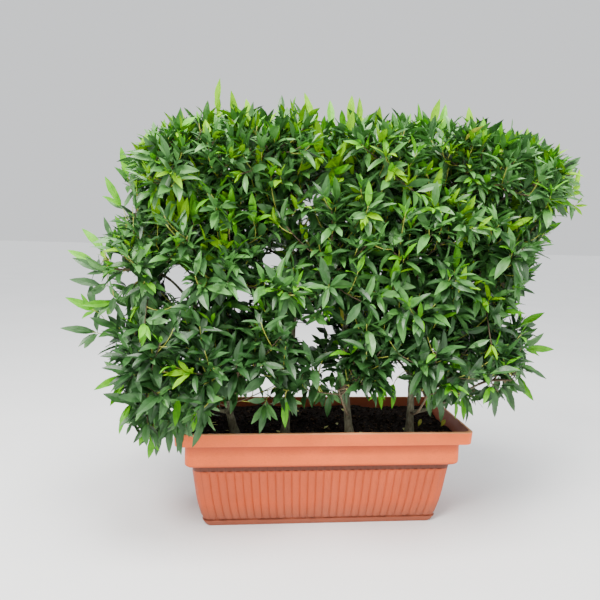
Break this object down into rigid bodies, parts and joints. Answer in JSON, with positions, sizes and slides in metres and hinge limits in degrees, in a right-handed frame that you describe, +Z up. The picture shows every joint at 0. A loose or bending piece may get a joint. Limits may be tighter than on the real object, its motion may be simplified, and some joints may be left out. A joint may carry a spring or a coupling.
{
  "type": "potted buttonwood",
  "caption": "Leafy evergreen hedge shrub of several slender stems in a long ribbed trough with a collar, a thick rim and soil.",
  "frame": {"origin": "on the ground, under the middle of the trough's flat underside", "axes": "+X along the trough, -Y towards the viewer of the picture, +Z up"},
  "size_m": [1.3795, 0.5693, 1.1536],
  "materials": {
    "terracotta_plastic": "matt, finely speckled",
    "potting_soil": "damp bark crumbs",
    "bark": "rough grey-brown bark",
    "leaf": "slightly glossy leaf"
  },
  "bodies": {
    "root": {"planter": "terracotta_plastic", "soil": "potting_soil", "stem_1": "bark", "stem_2": "bark", "stem_3": "bark", "stem_4": "bark", "bough_low_back_1": "bark", "bough_low_back_3": "bark", "bough_low_back_4": "bark", "bough_low_front_1": "bark", "bough_low_front_5": "bark", "bough_middle_back_1": "bark", "bough_middle_back_2": "bark", "bough_middle_back_4": "bark", "bough_middle_front_1": "bark", "bough_middle_front_5": "bark", "bough_top_back_2": "bark", "bough_top_back_4": "bark", "bough_top_front_4": "bark", "bough_top_front_5": "bark", "foliage_low_back_1": "leaf", "foliage_low_back_2": "leaf", "foliage_low_back_3": "leaf", "foliage_low_back_4": "leaf", "foliage_low_front_1": "leaf", "foliage_low_front_2": "leaf", "foliage_low_front_3": "leaf", "foliage_low_front_4": "leaf", "foliage_low_front_5": "leaf", "foliage_middle_back_1": "leaf", "foliage_middle_back_2": "leaf", "foliage_middle_back_3": "leaf", "foliage_middle_back_4": "leaf", "foliage_middle_front_1": "leaf", "foliage_middle_front_2": "leaf", "foliage_middle_front_3": "leaf", "foliage_middle_front_4": "leaf", "foliage_middle_front_5": "leaf", "foliage_top_back_1": "leaf", "foliage_top_back_2": "leaf", "foliage_top_back_3": "leaf", "foliage_top_back_4": "leaf", "foliage_top_front_1": "leaf", "foliage_top_front_2": "leaf", "foliage_top_front_3": "leaf", "foliage_top_front_4": "leaf", "foliage_top_front_5": "leaf"}
  },
  "joints": []
}
